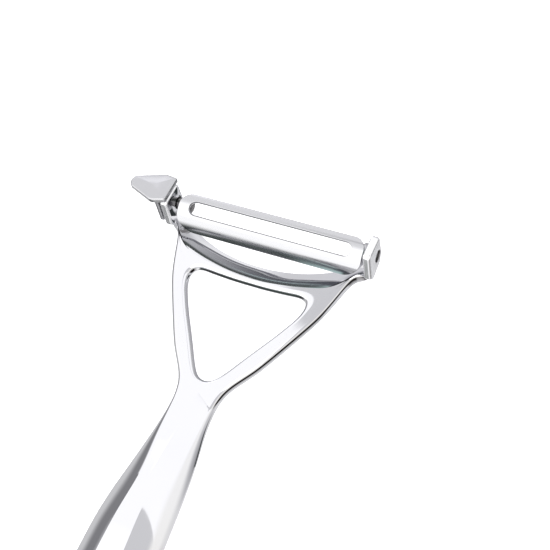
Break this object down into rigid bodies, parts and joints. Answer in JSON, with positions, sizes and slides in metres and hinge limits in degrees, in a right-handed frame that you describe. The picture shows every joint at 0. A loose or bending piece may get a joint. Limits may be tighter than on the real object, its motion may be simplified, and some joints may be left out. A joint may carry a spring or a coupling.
{
  "type": "vegetable peeler",
  "caption": "Y-shaped polished cast vegetable peeler with a slotted blade that swivels between two ears and a flat pointed eye remover on the left ear.",
  "frame": {"origin": "on the flat back that the peeler lies on, in the middle of its length and width", "axes": "+Y from the grip's end towards the blade, +X along the blade's axis towards the right ear as the user sees the front, +Z out of the front face"},
  "size_m": [0.0724, 0.1608, 0.0136],
  "materials": {
    "polished_chrome": "mirror polished chrome plate on a die casting",
    "spade_steel": "satin to polished",
    "blade_steel": "polished stainless steel",
    "pin_steel": "dull turned steel"
  },
  "bodies": {
    "frame": {"frame": "polished_chrome", "eye_remover": "spade_steel"},
    "blade": {"blade": "blade_steel", "right_pivot_pin": "pin_steel", "left_pivot_pin": "pin_steel"}
  },
  "joints": [
    {"name": "blade_swivel", "type": "hinge", "parent": "frame", "child": "blade", "pos_m": [0, 0.1, 0.0052], "axis": [1, 0, 0], "range_deg": [-250, 0]}
  ]
}
